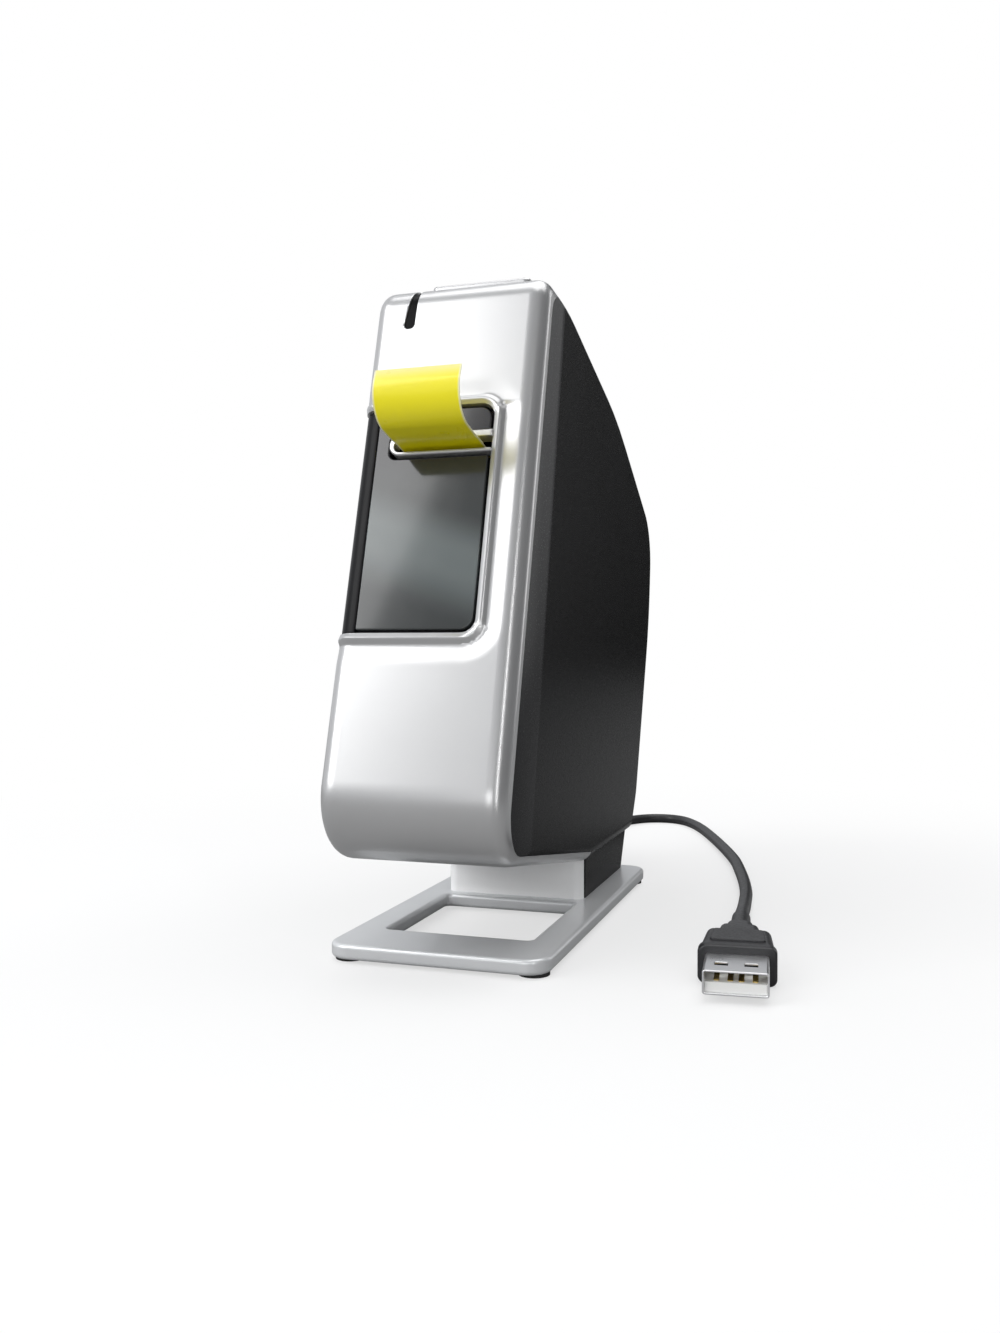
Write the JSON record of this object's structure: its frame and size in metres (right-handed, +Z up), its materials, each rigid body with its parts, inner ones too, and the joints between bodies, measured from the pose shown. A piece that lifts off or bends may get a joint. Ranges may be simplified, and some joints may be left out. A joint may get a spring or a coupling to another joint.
{
  "type": "label maker",
  "caption": "Upright desktop label printer with a lean-back silver front, smoked cassette window, black side covers, flat frame stand and a short plug-in data lead.",
  "frame": {"origin": "on the table, under the middle of the printer's width of stand and of its overall depth, without the lead", "axes": "+X to the printer's right seen from its front, +Y towards its back, +Z up"},
  "size_m": [0.0899, 0.2235, 0.1427],
  "materials": {
    "silver_shell": "satin silver paint on moulded plastic",
    "white_neck": "pale satin moulded plastic",
    "silver_base": "satin silver paint",
    "black_cover": "fine satin mould texture",
    "black_gloss": "polished black plastic",
    "smoked_window": "smoked clear plastic",
    "grey_moulding": "matt moulded plastic",
    "power_grey": "satin",
    "steel": "plain finish",
    "brass": "plain finish",
    "gear_white": "natural acetal",
    "rubber": "matt rubber",
    "ceramic": "glazed ceramic, given as gloss plastic",
    "cassette_grey": "matt moulded plastic",
    "yellow_tape": "satin laminated tape",
    "core_white": "matt moulded plastic",
    "ribbon_black": "waxy ribbon",
    "board_green": "solder mask",
    "chip_black": "moulded resin",
    "battery_blue": "shrink sleeve",
    "cord_grey": "satin flexible plastic",
    "plug_metal": "nickel plate",
    "plug_white": "moulded insulator"
  },
  "bodies": {
    "housing": {"stand_base": "silver_base", "stand_pads": "rubber", "stand_screws": "steel", "neck_cover": "white_neck", "front_shell": "silver_shell", "right_cover": "black_cover", "left_cover": "black_cover", "status_lens": "black_gloss", "exit_lip": "silver_shell", "inner_frame": "grey_moulding", "gear_plate": "steel", "gear_posts": "steel", "case_screws": "steel", "motor": "steel", "printhead": "ceramic", "printhead_bracket": "steel", "cassette_tray": "cassette_grey", "cassette_lid": "cassette_grey", "tape_web": "yellow_tape", "label_strip": "yellow_tape", "door_pin": "steel", "cutter_springs": "steel", "power_switch": "grey_moulding", "power_spring": "steel", "circuit_board": "board_green", "board_parts": "chip_black", "battery_tray": "grey_moulding", "battery_pack": "battery_blue", "battery_contacts": "brass", "battery_pin": "steel", "cord_gland": "cord_grey", "usb_lead": "cord_grey", "plug_grip": "cord_grey", "plug_shell": "plug_metal", "plug_tongue": "plug_white", "plug_contacts": "brass"},
    "cassette_door": {"cassette_door": "black_gloss", "door_window": "smoked_window", "door_latch": "black_gloss"},
    "battery_door": {"battery_door": "black_cover"},
    "cutter": {"cutter_button": "silver_shell", "cutter_carrier": "grey_moulding", "cutter_blade": "steel"},
    "power_button": {"power_button": "power_grey"},
    "tape_spool": {"tape_roll": "yellow_tape", "tape_core": "core_white"},
    "platen": {"platen_roller": "rubber", "platen_shaft": "steel", "platen_gear": "gear_white"},
    "front_idler": {"idler_front": "gear_white"},
    "rear_idler": {"idler_rear": "gear_white"},
    "motor_shaft": {"motor_pinion": "brass"},
    "ribbon_take_up": {"ribbon_gear": "gear_white", "ribbon_core": "core_white"},
    "ribbon_supply_spool": {"ribbon_supply": "ribbon_black"}
  },
  "joints": [
    {"name": "cassette_door_hinge", "type": "hinge", "parent": "housing", "child": "cassette_door", "pos_m": [-0.018, -0.00308, 0.07001], "axis": [0, -0.2756, -0.9613], "range_deg": [0, 100]},
    {"name": "battery_door_hinge", "type": "hinge", "parent": "housing", "child": "battery_door", "pos_m": [-0.018, 0.04016, 0.04305], "axis": [0, -0.2756, -0.9613], "range_deg": [0, 100]},
    {"name": "cutter_slide", "type": "slide", "parent": "housing", "child": "cutter", "axis": [0, -0.2756, -0.9613], "range_m": [0, 0.0045], "stiffness_N_per_m": 250, "springref_m": -0.002, "deforming": ["cutter_springs"]},
    {"name": "power_button_press", "type": "slide", "parent": "housing", "child": "power_button", "axis": [0, -0.2687, -0.9632], "range_m": [0, 0.001], "stiffness_N_per_m": 400, "springref_m": -0.0005, "deforming": ["power_spring"]},
    {"name": "tape_spool_spin", "type": "hinge", "parent": "housing", "child": "tape_spool", "pos_m": [-0.0005, -0.02541, 0.06652], "axis": [1, 0, 0], "continuous": true},
    {"name": "platen_spin", "type": "hinge", "parent": "housing", "child": "platen", "pos_m": [-0.0005, -0.04541, 0.09942], "axis": [1, 0, 0], "continuous": true},
    {"name": "front_idler_spin", "type": "hinge", "parent": "housing", "child": "front_idler", "pos_m": [0.0138, -0.02696, 0.10071], "axis": [1, 0, 0], "continuous": true},
    {"name": "rear_idler_spin", "type": "hinge", "parent": "housing", "child": "rear_idler", "pos_m": [0.0138, -0.00379, 0.09407], "axis": [1, 0, 0], "continuous": true},
    {"name": "motor_shaft_spin", "type": "hinge", "parent": "housing", "child": "motor_shaft", "pos_m": [0.0138, 0.00739, 0.08249], "axis": [1, 0, 0], "continuous": true},
    {"name": "ribbon_take_up_spin", "type": "hinge", "parent": "housing", "child": "ribbon_take_up", "pos_m": [-0.0005, -0.03877, 0.08445], "axis": [1, 0, 0], "continuous": true},
    {"name": "ribbon_supply_spin", "type": "hinge", "parent": "housing", "child": "ribbon_supply_spool", "pos_m": [-0.0005, -0.01151, 0.08595], "axis": [1, 0, 0], "continuous": true}
  ],
  "couplings": [
    {"joint": "platen_spin", "follows": "tape_spool_spin", "ratio": 4.6875},
    {"joint": "front_idler_spin", "follows": "tape_spool_spin", "ratio": -2.5},
    {"joint": "rear_idler_spin", "follows": "tape_spool_spin", "ratio": 2.5},
    {"joint": "motor_shaft_spin", "follows": "tape_spool_spin", "ratio": -7.5},
    {"joint": "ribbon_take_up_spin", "follows": "tape_spool_spin", "ratio": 3.75},
    {"joint": "ribbon_supply_spin", "follows": "tape_spool_spin", "ratio": 2.6786}
  ]
}
